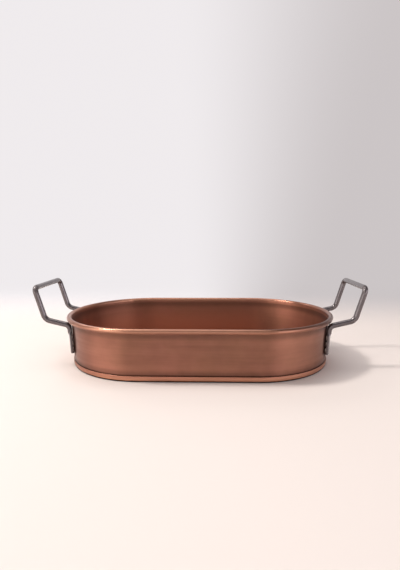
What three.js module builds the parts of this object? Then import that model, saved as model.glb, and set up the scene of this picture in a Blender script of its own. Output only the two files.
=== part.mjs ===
// Oval serving tray of copper sheet, with two handles of bent iron rod.
// Millimetres, +Z up. X runs along the tray, Y across it. The origin is the middle of the underside.

import * as THREE from 'three';
import { mergeVertices } from 'three/addons/utils/BufferGeometryUtils.js';

// Sizes of the copper body
const rimLength = 400;
const rimWidth = 241;
const trayHeight = 72.3;
const sheetThickness = 0.8;
const rimBeadDiameter = 7;
const rimCurlTurn = 310;
const wallFlare = 3;
const lipHeight = 8;
const lipBendRadius = 2;
const solderWidth = 3;

// Sizes of the handles
const rodDiameter = 8;
const legSpacing = 96.5;
const legLength = 40.3;
const legThickness = 4.3;
const legWidth = 11.5;
const legPressRun = 6;
const armReach = 21.2;
const armRise = 8.5;
const gripLean = 13.6;
const gripRise = 46;
const rimBendRadius = 9;
const armBendRadius = 12;
const gripBendRadius = 8;

// Sizes of the welds
const weldWidth = 2.2;
const weldLength = 7;
const weldPitch = 9;
const weldStart = 7;
const weldLevels = ['lower', 'middle', 'upper'];

// Clearances
const seatClearance = 0.3;
const legClearance = 0.7;
const armClearance = 1.2;

// How finely round forms are divided
const endSegments = 24;
const curlSegments = 12;
const wireSides = 8;
const bendSegments = 3;
const solderSegments = 4;
const rodSides = 12;
const rodSteps = 116;
const weldSides = 8;
const weldRings = 6;

// Sizes that follow from those above
const straightHalf = (rimLength - rimWidth) / 2;
const beadRadius = rimBeadDiameter / 2;
const beadCentreRadius = rimWidth / 2 - beadRadius;
const beadCentreHeight = trayHeight - beadRadius;
const wallTopRadius = beadCentreRadius - beadRadius + sheetThickness;
const wallFootHeight = lipBendRadius;
const wallSlope = wallFlare / (beadCentreHeight - wallFootHeight);
const solderFloorHeight = sheetThickness + seatClearance;
const solderFootRadius = wallRadius(solderFloorHeight) - sheetThickness - seatClearance - solderWidth;
const rodRadius = rodDiameter / 2;

const copper = new THREE.MeshStandardMaterial({ color: 0xa7684d, metalness: 0.9, roughness: 0.42 });
const floorCopper = new THREE.MeshStandardMaterial({ color: 0xa1634a, metalness: 0.9, roughness: 0.45 });
const wireSteel = new THREE.MeshStandardMaterial({ color: 0x8c8780, metalness: 0.9, roughness: 0.5 });
const solder = new THREE.MeshStandardMaterial({ color: 0x95705f, metalness: 0.8, roughness: 0.5 });
const iron = new THREE.MeshStandardMaterial({ color: 0x675c59, metalness: 0.6, roughness: 0.55 });
const weldMetal = new THREE.MeshStandardMaterial({ color: 0x4b403d, metalness: 0.6, roughness: 0.65 });

// Radius of the wall's outer face at a height, measured from the centre of an end arc.
function wallRadius(height) {
  return wallTopRadius - wallSlope * (beadCentreHeight - height);
}

// Points on an arc in the plane of a section: x is the radius on the tray and y the height.
function arcPoints(centre, radius, fromDegrees, toDegrees, segments) {
  const points = [];
  for (let step = 0; step <= segments; step++) {
    const angle = THREE.MathUtils.degToRad(THREE.MathUtils.lerp(fromDegrees, toDegrees, step / segments));
    points.push(new THREE.Vector2(Math.cos(angle), Math.sin(angle)).multiplyScalar(radius).add(centre));
  }
  return points;
}

// Places round the oval: the centre of the end arc, and the unit direction outwards from it.
function ovalStations() {
  const stations = [];
  for (const end of [1, -1]) {
    for (let step = 0; step <= endSegments; step++) {
      const angle = Math.PI * (step / endSegments - 0.5);
      stations.push({ centre: end * straightHalf, x: end * Math.cos(angle), y: end * Math.sin(angle) });
    }
  }
  return stations;
}

// Triangles with three different corners. A section that touches the axis leaves some that have two alike.
function withoutSlivers(geometry) {
  const corners = geometry.index.array;
  const kept = [];
  for (let first = 0; first < corners.length; first += 3) {
    const [a, b, c] = corners.slice(first, first + 3);
    if (a !== b && b !== c && c !== a) {
      kept.push(a, b, c);
    }
  }
  geometry.setIndex(kept);
  geometry.computeVertexNormals();
  return geometry;
}

// Carries a section round the oval. Its points run anticlockwise, from axis to axis or closed on themselves.
function roundTheOval(section, closed) {
  const stations = ovalStations();
  const positions = [];
  for (const station of stations) {
    for (const point of section) {
      positions.push(station.centre + point.x * station.x, point.x * station.y, point.y);
    }
  }
  const triangles = [];
  const edges = closed ? section.length : section.length - 1;
  for (let here = 0; here < stations.length; here++) {
    const there = (here + 1) % stations.length;
    for (let edge = 0; edge < edges; edge++) {
      const nextEdge = (edge + 1) % section.length;
      const hereLow = here * section.length + edge;
      const hereHigh = here * section.length + nextEdge;
      const thereLow = there * section.length + edge;
      const thereHigh = there * section.length + nextEdge;
      triangles.push(hereLow, thereLow, hereHigh, hereHigh, thereLow, thereHigh);
    }
  }
  const geometry = new THREE.BufferGeometry();
  geometry.setAttribute('position', new THREE.Float32BufferAttribute(positions, 3));
  geometry.setIndex(triangles);
  return withoutSlivers(mergeVertices(geometry));
}

// The wall: one sheet that flares from the base to the rim and is curled outwards over the rim wire.
function wallGeometry() {
  const beadCentre = new THREE.Vector2(beadCentreRadius, beadCentreHeight);
  const curlEnd = 180 - rimCurlTurn;
  const section = [
    new THREE.Vector2(wallRadius(wallFootHeight), wallFootHeight),
    ...arcPoints(beadCentre, beadRadius - sheetThickness, 180, curlEnd, curlSegments),
    ...arcPoints(beadCentre, beadRadius, curlEnd, 180, curlSegments),
    new THREE.Vector2(wallRadius(wallFootHeight) - sheetThickness, wallFootHeight),
  ];
  return roundTheOval(section, true);
}

// The stiffening wire that lies inside the curled rim.
function rimWireGeometry() {
  const beadCentre = new THREE.Vector2(beadCentreRadius, beadCentreHeight);
  const wireRadius = beadRadius - sheetThickness - seatClearance;
  const section = arcPoints(beadCentre, wireRadius, 0, 360, wireSides).slice(0, wireSides);
  return roundTheOval(section, true);
}

// The base: a flat floor whose edge is turned up round the foot of the wall and stands as a low lip.
// Inside the tray the floor lies open as far as the solder.
function basePanGeometry() {
  const lipInnerFoot = wallRadius(lipBendRadius) + seatClearance;
  const lipInnerTop = wallRadius(lipHeight) + seatClearance;
  const bendCentre = new THREE.Vector2(lipInnerFoot + sheetThickness - lipBendRadius, lipBendRadius);
  const section = [
    new THREE.Vector2(0, 0),
    ...arcPoints(bendCentre, lipBendRadius, -90, 0, bendSegments),
    new THREE.Vector2(lipInnerTop + sheetThickness, lipHeight),
    new THREE.Vector2(lipInnerTop, lipHeight),
    ...arcPoints(bendCentre, lipBendRadius - sheetThickness, 0, -90, bendSegments),
    new THREE.Vector2(solderFootRadius - seatClearance, sheetThickness),
    new THREE.Vector2(0, sheetThickness),
  ];
  return roundTheOval(section, false);
}

// The fillet of solder that seals the corner between the floor and the inside of the wall.
function baseSolderGeometry() {
  const topHeight = solderFloorHeight + solderWidth;
  const againstWall = (height) => wallRadius(height) - sheetThickness - seatClearance;
  const hollowCentre = new THREE.Vector2(solderFootRadius, topHeight);
  const section = [
    new THREE.Vector2(againstWall(solderFloorHeight), solderFloorHeight),
    new THREE.Vector2(againstWall(topHeight), topHeight),
    ...arcPoints(hollowCentre, solderWidth, 0, -90, solderSegments).slice(1),
  ];
  return roundTheOval(section, true);
}

// A round bend of the rod, which takes it from the side before a corner to the side after it.
class RoundBend extends THREE.Curve {
  constructor(before, corner, after, radius) {
    super();
    this.into = corner.clone().sub(before).normalize();
    const out = after.clone().sub(corner).normalize();
    this.turn = this.into.angleTo(out);
    this.radius = radius;
    const setback = radius * Math.tan(this.turn / 2);
    this.start = corner.clone().addScaledVector(this.into, -setback);
    this.end = corner.clone().addScaledVector(out, setback);
    this.inward = out.addScaledVector(this.into, -out.dot(this.into)).normalize();
    this.centre = this.start.clone().addScaledVector(this.inward, radius);
  }

  getPoint(share, target = new THREE.Vector3()) {
    const angle = share * this.turn;
    target.copy(this.centre);
    target.addScaledVector(this.inward, -this.radius * Math.cos(angle));
    return target.addScaledVector(this.into, this.radius * Math.sin(angle));
  }
}

// Where a leg's centre line stands on the right of the tray at a height, so that it follows the wall.
function legCentreX(height) {
  const fromArcCentre = wallRadius(height) + legClearance + legThickness / 2;
  return straightHalf + Math.sqrt(fromArcCentre ** 2 - (legSpacing / 2) ** 2);
}

const legTopHeight = beadCentreHeight - beadRadius - armClearance - rodRadius;
const legEndHeight = legTopHeight - legLength;

// The corners of the right handle's centre line, from the end of the front leg to that of the back leg.
function handleCorners() {
  const armX = rimLength / 2 + armReach;
  const armHeight = legTopHeight + armRise;
  const oneSide = (y) => [
    new THREE.Vector3(legCentreX(legEndHeight), y, legEndHeight),
    new THREE.Vector3(legCentreX(legTopHeight), y, legTopHeight),
    new THREE.Vector3(armX, y, armHeight),
    new THREE.Vector3(armX + gripLean, y, armHeight + gripRise),
  ];
  return [...oneSide(-legSpacing / 2), ...oneSide(legSpacing / 2).reverse()];
}

// The rod's centre line: straight runs, with a round bend at each corner.
function handlePath() {
  const corners = handleCorners();
  const radii = [rimBendRadius, armBendRadius, gripBendRadius];
  const path = new THREE.CurvePath();
  let from = corners[0];
  [...radii, ...radii.toReversed()].forEach((radius, bend) => {
    const curve = new RoundBend(corners[bend], corners[bend + 1], corners[bend + 2], radius);
    path.add(new THREE.LineCurve3(from, curve.start));
    path.add(curve);
    from = curve.end;
  });
  path.add(new THREE.LineCurve3(from, corners.at(-1)));
  return path;
}

// The directions at a leg of the right handle: out from the wall, and along the wall away from the other leg.
function legDirections(side) {
  const outward = new THREE.Vector3(legCentreX(legEndHeight) - straightHalf, side * legSpacing / 2, 0).normalize();
  const along = new THREE.Vector3(-side * outward.y, side * outward.x, 0);
  return { outward, along };
}

// Presses both legs flat. The side towards the wall is flat as far as the bend carries the rod away from it,
// and the other side and the width blend into the round rod below the bend.
function pressLegs(geometry) {
  const pressTop = legTopHeight - rimBendRadius;
  const positions = geometry.attributes.position;
  const point = new THREE.Vector3();
  for (let index = 0; index < positions.count; index++) {
    point.fromBufferAttribute(positions, index);
    const side = Math.sign(point.y);
    const { outward, along } = legDirections(side);
    const axis = new THREE.Vector3(legCentreX(point.z), side * legSpacing / 2, point.z);
    const offset = point.clone().sub(axis);
    const pressed = 1 - THREE.MathUtils.smoothstep(point.z, pressTop - legPressRun, pressTop);
    const outerLimit = pressed > 0 ? THREE.MathUtils.lerp(rodRadius, legThickness / 2, pressed) : Infinity;
    const depth = THREE.MathUtils.clamp(offset.dot(outward), -legThickness / 2, outerLimit);
    const width = offset.dot(along) * THREE.MathUtils.lerp(1, legWidth / rodDiameter, pressed);
    point.copy(axis).addScaledVector(outward, depth).addScaledVector(along, width);
    positions.setXYZ(index, point.x, point.y, point.z);
  }
  return geometry;
}

// One handle: a single rod, bent to a grip, two arms and two legs.
function handleGeometry() {
  const corners = arcPoints(new THREE.Vector2(), rodRadius, 0, 360, rodSides).slice(0, rodSides);
  const rod = new THREE.ExtrudeGeometry(new THREE.Shape(corners), {
    extrudePath: handlePath(),
    steps: rodSteps,
  });
  rod.deleteAttribute('normal');
  rod.deleteAttribute('uv');
  const geometry = pressLegs(mergeVertices(rod));
  geometry.computeVertexNormals();
  return geometry;
}

// The welds of the right handle. Each lies in the corner between the wall and one edge of a leg.
function weldsOfHandle(sideName) {
  const bead = new THREE.SphereGeometry(1, weldSides, weldRings);
  bead.rotateX(Math.PI / 2);
  bead.scale(weldWidth / 2, weldWidth / 2, weldLength / 2);
  const depthFromLegCentre = legClearance + legThickness / 2 - seatClearance - weldWidth / 2;
  const legHalfWidthThere = legWidth / 2 * Math.sqrt(1 - (depthFromLegCentre / rodRadius) ** 2);
  const alongWall = legHalfWidthThere + seatClearance + weldWidth / 2;
  const welds = [];
  for (const [legName, legSide] of [['front', -1], ['back', 1]]) {
    const { outward, along } = legDirections(legSide);
    weldLevels.forEach((levelName, level) => {
      const height = legEndHeight + weldStart + level * weldPitch;
      for (const [edgeName, edgeSide] of [['inner', -1], ['outer', 1]]) {
        const weld = new THREE.Mesh(bead, weldMetal);
        weld.name = `${sideName}_${legName}_${levelName}_${edgeName}_weld`;
        weld.position.set(legCentreX(height), legSide * legSpacing / 2, height);
        weld.position.addScaledVector(outward, -depthFromLegCentre);
        weld.position.addScaledVector(along, edgeSide * alongWall);
        weld.quaternion.setFromUnitVectors(
          new THREE.Vector3(0, 0, 1),
          new THREE.Vector3(0, 0, 1).addScaledVector(outward, wallSlope).normalize(),
        );
        welds.push(weld);
      }
    });
  }
  return welds;
}

function named(name, geometry, material) {
  const mesh = new THREE.Mesh(geometry, material);
  mesh.name = name;
  return mesh;
}

const tray = new THREE.Group();
tray.add(named('tray_wall', wallGeometry(), copper));
tray.add(named('rim_wire', rimWireGeometry(), wireSteel));
tray.add(named('base_pan', basePanGeometry(), floorCopper));
tray.add(named('base_solder', baseSolderGeometry(), solder));

const handle = handleGeometry();
for (const [sideName, turn] of [['right', 0], ['left', Math.PI]]) {
  const side = new THREE.Group();
  side.rotation.z = turn;
  side.add(named(`${sideName}_handle`, handle, iron));
  side.add(...weldsOfHandle(sideName));
  tray.add(side);
}

export default tray;
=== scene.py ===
"""Looks of the oval serving tray: fine surfaces, finishes, studio and camera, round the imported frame."""

import logging
import math
import random
from dataclasses import dataclass, field
from enum import Enum
from typing import Callable, Sequence

import bmesh
import bpy
from mathutils import Matrix, Vector


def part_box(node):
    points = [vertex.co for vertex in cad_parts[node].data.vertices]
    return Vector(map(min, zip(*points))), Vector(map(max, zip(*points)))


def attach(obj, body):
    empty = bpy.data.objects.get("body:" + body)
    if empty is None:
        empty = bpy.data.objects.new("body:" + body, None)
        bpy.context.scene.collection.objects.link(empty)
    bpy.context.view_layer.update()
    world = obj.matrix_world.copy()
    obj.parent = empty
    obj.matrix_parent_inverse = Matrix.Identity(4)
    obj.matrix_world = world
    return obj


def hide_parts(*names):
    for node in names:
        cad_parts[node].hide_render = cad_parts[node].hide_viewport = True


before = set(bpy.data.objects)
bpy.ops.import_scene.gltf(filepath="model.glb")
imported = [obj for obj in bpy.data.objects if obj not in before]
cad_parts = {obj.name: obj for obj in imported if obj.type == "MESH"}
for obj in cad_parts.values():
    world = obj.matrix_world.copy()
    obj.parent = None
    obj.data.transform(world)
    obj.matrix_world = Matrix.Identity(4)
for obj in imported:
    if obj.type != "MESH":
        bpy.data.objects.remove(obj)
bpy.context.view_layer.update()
BODY = "root"

# A point this close to a level, in metres, counts as lying on it.
ON_LEVEL = 1e-5
# Edges that turn by more than this angle, in degrees, are shaded sharp.
CREASE = 38.0
# How many faces go round a rounded edge.
ROUNDING_STEPS = 3

log = logging.getLogger("serving_tray")

Colour = tuple[float, float, float]
Triple = tuple[float, float, float]
Pair = tuple[float, float]
Node = bpy.types.Node
Socket = bpy.types.NodeSocket
Tree = bpy.types.NodeTree


class Slot(Enum):
    """The record's material slots."""

    WALL = "copper_wall"
    BASE = "copper_base"
    WIRE = "wire_steel"
    SOLDER = "solder"
    HANDLE = "handle_iron"
    WELD = "weld_metal"


class GrainRun(Enum):
    """The way that a finish was brushed, as how long its lines are along X, Y and Z."""

    LEVEL = (22.0, 22.0, 1.0)
    ALONG_THE_TRAY = (22.0, 1.0, 1.0)


class Workpiece:
    """One mesh on the bench: a primitive that is shaped by edit-mode operators and finished by modifiers."""

    def __init__(self, name: str) -> None:
        """Takes up the primitive that was added last, and puts its place into its mesh.

        Args:
            name: The name of the piece.
        """
        self.obj = bpy.context.object
        self.obj.name = name
        self.obj.data.name = name
        bpy.ops.object.transform_apply(location=True, rotation=True, scale=True)

    @staticmethod
    def circle(name: str, sides: int, radius: float, centre: Triple, rotation: Triple) -> "Workpiece":
        """Starts a piece from an open circle.

        Args:
            name: The name of the piece.
            sides: How many points the circle has.
            radius: Its radius in metres.
            centre: Its centre.
            rotation: Its turn from the level plane, as Euler angles.

        Returns:
            The piece.
        """
        deselect_all()
        bpy.ops.mesh.primitive_circle_add(vertices=sides, radius=radius, location=centre, rotation=rotation)
        return Workpiece(name)

    @staticmethod
    def ball(name: str, segments: int, rings: int, scale: Triple) -> "Workpiece":
        """Starts a piece from a ball with its poles on Z.

        Args:
            name: The name of the piece.
            segments: How many faces go round the ball.
            rings: How many go from pole to pole.
            scale: The ball's half sizes.

        Returns:
            The piece.
        """
        deselect_all()
        bpy.ops.mesh.primitive_uv_sphere_add(segments=segments, ring_count=rings, radius=1.0, scale=scale)
        return Workpiece(name)

    def select(self, test: Callable[[Vector], bool]) -> None:
        """Selects some of the points, with the edges and faces between them, and nothing else.

        Args:
            test: Whether a point at a place is selected.
        """
        mesh = self.obj.data
        shape = bmesh.from_edit_mesh(mesh)
        for part in (shape.faces, shape.edges, shape.verts):
            for item in part:
                item.select = False
        for point in shape.verts:
            point.select = test(point.co)
        shape.select_flush(True)
        bmesh.update_edit_mesh(mesh)

    def select_level(self, height: float) -> None:
        """Selects the points that lie at a height."""
        self.select(lambda point: abs(point.z - height) < ON_LEVEL)

    def extrude(self, offset: Sequence[float], steps: int = 1) -> None:
        """Extrudes what is selected.

        Args:
            offset: The whole way that it goes.
            steps: In how many equal steps it goes there.
        """
        step = tuple(part / steps for part in offset)
        for _ in range(steps):
            bpy.ops.mesh.extrude_region_move(TRANSFORM_OT_translate={"value": step})

    def spin(self, angle: float, centre: Sequence[float], axis: Sequence[float], steps: int) -> None:
        """Spins what is selected by the right-hand rule. With no window the operator turns the other way."""
        bpy.ops.mesh.spin(steps=steps, angle=-angle, center=tuple(centre), axis=tuple(axis))

    def resize(self, value: Sequence[float], centre: Sequence[float]) -> None:
        """Scales what is selected about a centre."""
        bpy.ops.transform.resize(value=tuple(value), center_override=tuple(centre))

    def merge(self, distance: float = 2e-6) -> None:
        """Merges points that lie on each other and turns all faces outwards.

        Args:
            distance: How close two points lie to be merged, in metres.
        """
        bpy.ops.mesh.select_all(action="SELECT")
        bpy.ops.mesh.remove_doubles(threshold=distance)
        bpy.ops.mesh.normals_make_consistent(inside=False)

    def modifier(self, kind: str, **settings: object) -> None:
        """Adds a modifier and applies it.

        Args:
            kind: The modifier's type.
            settings: Its own settings.
        """
        make_active(self.obj)
        bpy.ops.object.modifier_add(type=kind)
        added = self.obj.modifiers[-1]
        for name, value in settings.items():
            setattr(added, name, value)
        bpy.ops.object.modifier_apply(modifier=added.name)

    def bevel(self, width: float, sharper_than: float) -> None:
        """Rounds the edges that turn by more than an angle, given in degrees."""
        angle = math.radians(sharper_than)
        self.modifier("BEVEL", width=width, segments=ROUNDING_STEPS, limit_method="ANGLE", angle_limit=angle)

    def place(self, matrix: Matrix) -> None:
        """Moves the mesh, with the object left at the origin.

        Args:
            matrix: The move.
        """
        make_active(self.obj)
        self.obj.matrix_world = matrix
        bpy.ops.object.transform_apply(location=True, rotation=True, scale=True)

    def copy(self, name: str) -> "Workpiece":
        """Copies the piece, with a mesh of its own.

        Args:
            name: The copy's name.

        Returns:
            The copy.
        """
        twin = self.obj.copy()
        twin.data = self.obj.data.copy()
        bpy.context.scene.collection.objects.link(twin)
        make_active(twin)
        return Workpiece(name)

    def smooth(self, sharper_than: float = CREASE) -> None:
        """Shades the piece smooth, but for edges that turn by more than an angle, given in degrees."""
        make_active(self.obj)
        bpy.ops.object.shade_smooth_by_angle(angle=math.radians(sharper_than))

    def hand_over(self, material: bpy.types.Material, slot: Slot, *nodes: str) -> None:
        """Dresses the finished piece, and lets it ride and stand for its nodes.

        Args:
            material: The finish.
            slot: The record's slot that the finish belongs to. It is not used.
            nodes: The CAD nodes that the piece stands for.
        """
        self.obj.data.materials.clear()
        self.obj.data.materials.append(material)
        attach(self.obj, BODY)
        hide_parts(*nodes)
        log.info("%s: %d faces, for %s", self.obj.name, len(self.obj.data.polygons), ", ".join(nodes))


class Editing:
    """Holds a piece in edit mode, with points selectable, for the length of a with block."""

    def __init__(self, piece: Workpiece) -> None:
        """Remembers the piece."""
        self.piece = piece

    def __enter__(self) -> Workpiece:
        """Opens edit mode with nothing selected.

        Returns:
            The piece.
        """
        make_active(self.piece.obj)
        bpy.ops.object.mode_set(mode="EDIT")
        bpy.ops.mesh.select_mode(type="VERT")
        bpy.ops.mesh.select_all(action="DESELECT")
        return self.piece

    def __exit__(self, *_: object) -> None:
        """Goes back to object mode."""
        bpy.ops.object.mode_set(mode="OBJECT")


def deselect_all() -> None:
    """Deselects every object."""
    bpy.ops.object.select_all(action="DESELECT")


def make_active(obj: bpy.types.Object) -> None:
    """Makes an object the only selected one.

    Args:
        obj: The object.
    """
    deselect_all()
    obj.select_set(True)
    bpy.context.view_layer.objects.active = obj


@dataclass(frozen=True)
class OvalPath:
    """The oval that every ring of the body follows: two half circles joined by straight sides."""

    # Angles on an upright section, in degrees.
    DOWN = -90.0
    OUTWARDS = 0.0
    INWARDS = 180.0

    straight_half: float = 0.0795
    end_steps: int = 72
    side_steps: int = 8

    def section_point(self, radius: float, height: float) -> Triple:
        """Where a point of a section lies at the start of the oval, the front of the right end."""
        return (self.straight_half, -radius, height)

    def section_angle(self, point: Vector, radius: float, height: float) -> float:
        """The angle of a section's point round a centre, in degrees: 0 outwards, 90 up and 180 inwards."""
        return math.degrees(math.atan2(point.z - height, -point.y - radius))

    def carry(self, piece: Workpiece) -> None:
        """Carries a section round the oval, and closes it on itself.

        Args:
            piece: The piece that holds the section.
        """
        with Editing(piece):
            bpy.ops.mesh.select_all(action="SELECT")
            for end in (1, -1):
                piece.spin(math.pi, (end * self.straight_half, 0, 0), (0, 0, 1), self.end_steps)
                piece.extrude((-2 * end * self.straight_half, 0, 0), self.side_steps)
            piece.merge()


class NodeBoard:
    """Adds shader nodes to one tree and joins them."""

    # How the nodes are laid out for reading: how many stand in a row, and how far apart.
    ROW = 9
    STEP = (220, -320)

    def __init__(self, tree: Tree) -> None:
        """Clears a tree and takes it up.

        Args:
            tree: The tree.
        """
        self.tree = tree
        self.count = 0
        tree.nodes.clear()

    def add(self, kind: str, inputs: dict[object, object] | None = None, **settings: object) -> Node:
        """Adds a node.

        Args:
            kind: The node's type, without its ShaderNode.
            inputs: What each input gets, by name or place: a value, or a socket to join to it.
            settings: The node's own settings.

        Returns:
            The node.
        """
        node = self.tree.nodes.new(kind if kind.startswith("NodeGroup") else f"ShaderNode{kind}")
        node.location = (self.STEP[0] * (self.count % self.ROW), self.STEP[1] * (self.count // self.ROW))
        self.count += 1
        for name, value in settings.items():
            setattr(node, name, value)
        for key, value in (inputs or {}).items():
            self.feed(node.inputs[key], value)
        return node

    def feed(self, socket: Socket, value: object) -> None:
        """Joins an output to an input, or sets the input's value.

        Args:
            socket: The input.
            value: The output or the value. A colour may come without its alpha.
        """
        if isinstance(value, Socket):
            self.tree.links.new(value, socket)
        elif isinstance(value, tuple) and len(value) == 3 and socket.type == "RGBA":
            socket.default_value = (*value, 1.0)
        else:
            socket.default_value = value

    def maths(self, operation: str, *values: object, clamp: bool = False) -> Socket:
        """The result of a sum on numbers."""
        node = self.add("Math", dict(enumerate(values)), operation=operation, use_clamp=clamp)
        return node.outputs[0]

    def times(self, first: object, second: object) -> Socket:
        """Two numbers multiplied."""
        return self.maths("MULTIPLY", first, second)

    def weigh(self, first: object, first_share: float, second: object, second_share: float) -> Socket:
        """Two numbers added, each by its share."""
        return self.maths("MULTIPLY_ADD", first, first_share, self.times(second, second_share))

    def vector(self, operation: str, *values: object) -> Socket:
        """The result of a sum on vectors."""
        node = self.add("VectorMath", dict(enumerate(values)), operation=operation)
        return node.outputs["Value" if operation == "LENGTH" else "Vector"]

    def axes(self, vector: object) -> bpy.types.bpy_prop_collection:
        """The three numbers of a vector, by the name of their axis."""
        return self.add("SeparateXYZ", {0: vector}).outputs

    def ramp(
        self, value: object, low: object, high: object, to_low: object = 0.0, to_high: object = 1.0
    ) -> Socket:
        """Carries a value smoothly from one range to another.

        Args:
            value: The value.
            low: Where the first range starts.
            high: Where it ends.
            to_low: What the value becomes at the start.
            to_high: What it becomes at the end.

        Returns:
            The carried value.
        """
        ranges = {"Value": value, "From Min": low, "From Max": high, "To Min": to_low, "To Max": to_high}
        return self.add("MapRange", ranges, interpolation_type="SMOOTHSTEP").outputs["Result"]

    def noise(self, vector: object, scale: object, detail: float = 3.0, roughness: float = 0.55) -> Socket:
        """Soft random clouds, from 0 to 1."""
        inputs = {"Vector": vector, "Scale": scale, "Detail": detail, "Roughness": roughness}
        return self.add("TexNoise", inputs).outputs["Fac"]

    def blend(self, share: object, first: object, second: object) -> Socket:
        """Two colours mixed by the share of the second."""
        node = self.add("Mix", {0: share, 6: first, 7: second}, data_type="RGBA", clamp_factor=True)
        return node.outputs[2]


class EffectGroups:
    """The effects that several finishes share, each one node group with named sockets."""

    # The noises of the brushed lines, fine, middle and wide: each one's share of the pitch, and its detail.
    LINE_LAYERS = ((2.6, 3.0), (0.8, 3.0), (0.22, 2.0))
    LINE_ROUGHNESS = 0.6
    # How two noises are added: the share of the stronger one, and of the weaker.
    LINE_SHARES = (0.6, 0.4)
    CLOUD_SHARES = (0.7, 0.3)
    # The part of an added noise that becomes the range from 0 to 1.
    STREAK_RANGE = (0.36, 0.64)
    CLOUD_RANGE = (0.33, 0.67)
    # The noises of the clouds, large and small: each one's detail and roughness.
    LARGE_CLOUDS = (4.0, 0.58)
    SMALL_CLOUDS = (2.0, 0.5)
    # How much finer the small noise is than the large one.
    CLOUD_FINENESS = 3.7
    # The part of a spot's reach, from its middle, that has the full strength.
    SPOT_CORE = 0.35
    # The scale of the noise that lets a level edge wander, and the noise's middle.
    WANDER_SCALE = 90.0
    NOISE_MIDDLE = 0.5
    # Half of the way, in metres, in which one face of a sheet gives way to the other.
    FACE_EDGE = 0.0002

    def __init__(self) -> None:
        """Builds every group once."""
        self.grain = self._grain()
        self.mottle = self._mottle()
        self.spot = self._spot()
        self.level = self._level()
        self.inner = self._inner()

    @staticmethod
    def _group(
        name: str, inputs: dict[str, str], outputs: Sequence[str] = ("Mask",)
    ) -> tuple[NodeBoard, dict[str, Socket]]:
        """Makes an empty group with its sockets.

        Args:
            name: The group's name.
            inputs: The type of each input.
            outputs: The outputs, which are all numbers.

        Returns:
            A board on the group, and the group's input sockets by name.
        """
        tree = bpy.data.node_groups.new(name, "ShaderNodeTree")
        board = NodeBoard(tree)
        for label, kind in inputs.items():
            tree.interface.new_socket(name=label, in_out="INPUT", socket_type=f"NodeSocket{kind}")
        for label in outputs:
            tree.interface.new_socket(name=label, in_out="OUTPUT", socket_type="NodeSocketFloat")
        entry = board.add("NodeGroupInput")
        return board, {label: entry.outputs[label] for label in inputs}

    @staticmethod
    def _close(board: NodeBoard, **results: Socket) -> Tree:
        """Joins a group's results to its outputs.

        Args:
            board: The board on the group.
            results: The results, by the name of their output.

        Returns:
            The group.
        """
        board.add("NodeGroupOutput", results)
        return board.tree

    def _grain(self) -> Tree:
        """Builds brushed lines: a fine height for bump, and wider streaks for sheen and colour.

        Returns:
            The group.
        """
        inputs = {"Vector": "Vector", "Pitch": "Float"}
        board, given = self._group("brushed_grain", inputs, ("Height", "Streaks"))
        lines = []
        for share, detail in self.LINE_LAYERS:
            scaled = board.vector("SCALE", given["Vector"])
            board.feed(scaled.node.inputs["Scale"], board.times(given["Pitch"], share))
            lines.append(board.noise(scaled, 1.0, detail, self.LINE_ROUGHNESS))
        fine, middle, wide = lines
        strong, weak = self.LINE_SHARES
        height = board.weigh(middle, weak, fine, strong)
        streaks = board.weigh(wide, strong, middle, weak)
        return self._close(board, Height=height, Streaks=board.ramp(streaks, *self.STREAK_RANGE))

    def _mottle(self) -> Tree:
        """Builds the soft clouds of an aged finish.

        Returns:
            The group.
        """
        board, given = self._group("aged_mottle", {"Vector": "Vector", "Scale": "Float"})
        large = board.noise(given["Vector"], given["Scale"], *self.LARGE_CLOUDS)
        finer = board.times(given["Scale"], self.CLOUD_FINENESS)
        small = board.noise(given["Vector"], finer, *self.SMALL_CLOUDS)
        strong, weak = self.CLOUD_SHARES
        clouds = board.weigh(small, weak, large, strong)
        return self._close(board, Mask=board.ramp(clouds, *self.CLOUD_RANGE))

    def _spot(self) -> Tree:
        """Builds a soft spot that shows alike in all four quarters of the tray.

        Returns:
            The group.
        """
        inputs = {"Vector": "Vector", "Centre": "Vector", "Reach": "Vector"}
        board, given = self._group("spot_in_each_quarter", inputs)
        folded = board.vector("ABSOLUTE", given["Vector"])
        away = board.vector("DIVIDE", board.vector("SUBTRACT", folded, given["Centre"]), given["Reach"])
        return self._close(board, Mask=board.ramp(board.vector("LENGTH", away), 1.0, self.SPOT_CORE))

    def _level(self) -> Tree:
        """Builds a mask that changes over a height, with an edge that wanders a little.

        Returns:
            The group.
        """
        inputs = {"Vector": "Vector", "Low": "Float", "High": "Float", "Wander": "Float"}
        board, given = self._group("level_edge", inputs)
        drift = board.maths("SUBTRACT", board.noise(given["Vector"], self.WANDER_SCALE), self.NOISE_MIDDLE)
        height = board.maths("MULTIPLY_ADD", drift, given["Wander"], board.axes(given["Vector"])["Z"])
        return self._close(board, Mask=board.ramp(height, given["Low"], given["High"]))

    def _inner(self) -> Tree:
        """Builds a mask of a sheet's inner face, from how far a point lies from the middle line of the oval.

        Returns:
            The group.
        """
        inputs = {"Vector": "Vector", "Straight": "Float", "Foot": "Float", "Slope": "Float"}
        board, given = self._group("inner_face", inputs)
        axes = board.axes(given["Vector"])
        past_straight = board.maths("SUBTRACT", board.maths("ABSOLUTE", axes["X"]), given["Straight"])
        across = board.add("CombineXYZ", {"X": board.maths("MAXIMUM", past_straight, 0.0), "Y": axes["Y"]})
        sheet = board.maths("MULTIPLY_ADD", axes["Z"], given["Slope"], given["Foot"])
        outward = board.maths("SUBTRACT", board.vector("LENGTH", across.outputs[0]), sheet)
        return self._close(board, Mask=board.ramp(outward, self.FACE_EDGE, -self.FACE_EDGE))


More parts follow.
